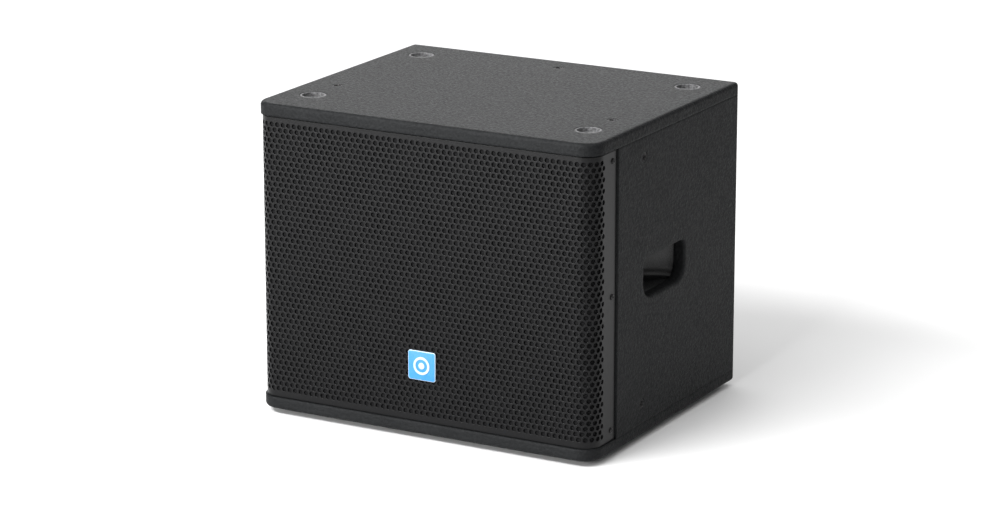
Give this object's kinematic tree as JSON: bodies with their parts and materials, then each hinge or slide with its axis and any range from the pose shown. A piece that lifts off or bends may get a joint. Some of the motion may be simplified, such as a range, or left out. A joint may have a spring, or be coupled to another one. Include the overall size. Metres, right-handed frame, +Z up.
{
  "type": "pa speaker cabinet",
  "caption": "Black bass speaker cabinet with a wrap-round perforated grille, pocket handles, stacking cups and threaded flying points.",
  "frame": {"origin": "on the floor under the middle of the box", "axes": "+Z up, the grille faces -Y, +X to the right of someone facing the grille"},
  "size_m": [0.46, 0.38, 0.387],
  "materials": {
    "cabinet_paint": "plywood under a textured black paint",
    "bare_ply": "raw birch plywood",
    "grille_steel": "satin black powder coat",
    "foam": "open black acoustic foam",
    "badge_blue": "moulded blue plastic",
    "badge_white": "moulded white plastic",
    "black_abs": "moulded black ABS",
    "black_rubber": "moulded black rubber",
    "black_screw": "black oxide steel",
    "zinc_steel": "zinc plated steel",
    "basket_paint": "black painted steel basket",
    "cone_paper": "pressed paper pulp, dyed black",
    "treated_cloth": "doped pleated cloth",
    "spider_cloth": "resin-treated cotton",
    "former_alu": "rolled foil former",
    "copper_wire": "enamelled copper winding",
    "magnet_ferrite": "ground ferrite",
    "socket_plastic": "glass-filled nylon",
    "contact_brass": "plated brass",
    "wire_red_pvc": "red PVC sleeve",
    "wire_black_pvc": "black PVC sleeve",
    "wadding": "white polyester wadding"
  },
  "bodies": {
    "cabinet": {"top_panel": "cabinet_paint", "bottom_panel": "cabinet_paint", "side_panel_left": "cabinet_paint", "side_panel_right": "cabinet_paint", "front_baffle": "cabinet_paint", "back_panel": "cabinet_paint", "cross_brace": "bare_ply", "grille": "grille_steel", "grille_foam": "foam", "badge_plate": "badge_blue", "badge_emblem": "badge_white", "handle_cup_left": "black_abs", "handle_cup_right": "black_abs", "grille_screws": "black_screw", "handle_screws": "zinc_steel", "stacking_cup_front_left": "black_abs", "stacking_cup_front_right": "black_abs", "stacking_cup_rear_left": "black_abs", "stacking_cup_rear_right": "black_abs", "stacking_cup_screws": "black_screw", "foot_front_left": "black_rubber", "foot_front_right": "black_rubber", "foot_rear_left": "black_rubber", "foot_rear_right": "black_rubber", "foot_screws": "zinc_steel", "rigging_bracket_top_left": "zinc_steel", "rigging_bracket_top_right": "zinc_steel", "rigging_bracket_bottom_left": "zinc_steel", "rigging_bracket_bottom_right": "zinc_steel", "rigging_plate_top": "zinc_steel", "rigging_plate_bottom": "zinc_steel", "rigging_sleeves": "black_screw", "rigging_screws": "zinc_steel", "driver_basket": "basket_paint", "driver_gasket": "black_rubber", "surround": "treated_cloth", "spider": "spider_cloth", "top_plate": "zinc_steel", "magnet": "magnet_ferrite", "pole_yoke": "zinc_steel", "terminal_strip": "black_abs", "tinsel_leads": "copper_wire", "driver_bolts": "black_screw", "driver_tee_nuts": "zinc_steel", "port_tube_left": "black_abs", "port_tube_right": "black_abs", "connector_plate": "basket_paint", "input_socket": "socket_plastic", "link_socket": "socket_plastic", "socket_contacts": "contact_brass", "connector_plate_screws": "black_screw", "wire_red": "wire_red_pvc", "wire_black": "wire_black_pvc", "damping_pads": "wadding"},
    "cone_assembly": {"cone": "cone_paper", "dust_cap": "cone_paper", "coil_former": "former_alu", "voice_coil": "copper_wire"}
  },
  "joints": [
    {"name": "cone_excursion", "type": "slide", "parent": "cabinet", "child": "cone_assembly", "axis": [0, -1, 0], "range_m": [-0.008, 0.008], "stiffness_N_per_m": 5000, "deforming": ["surround", "spider", "tinsel_leads"]}
  ]
}
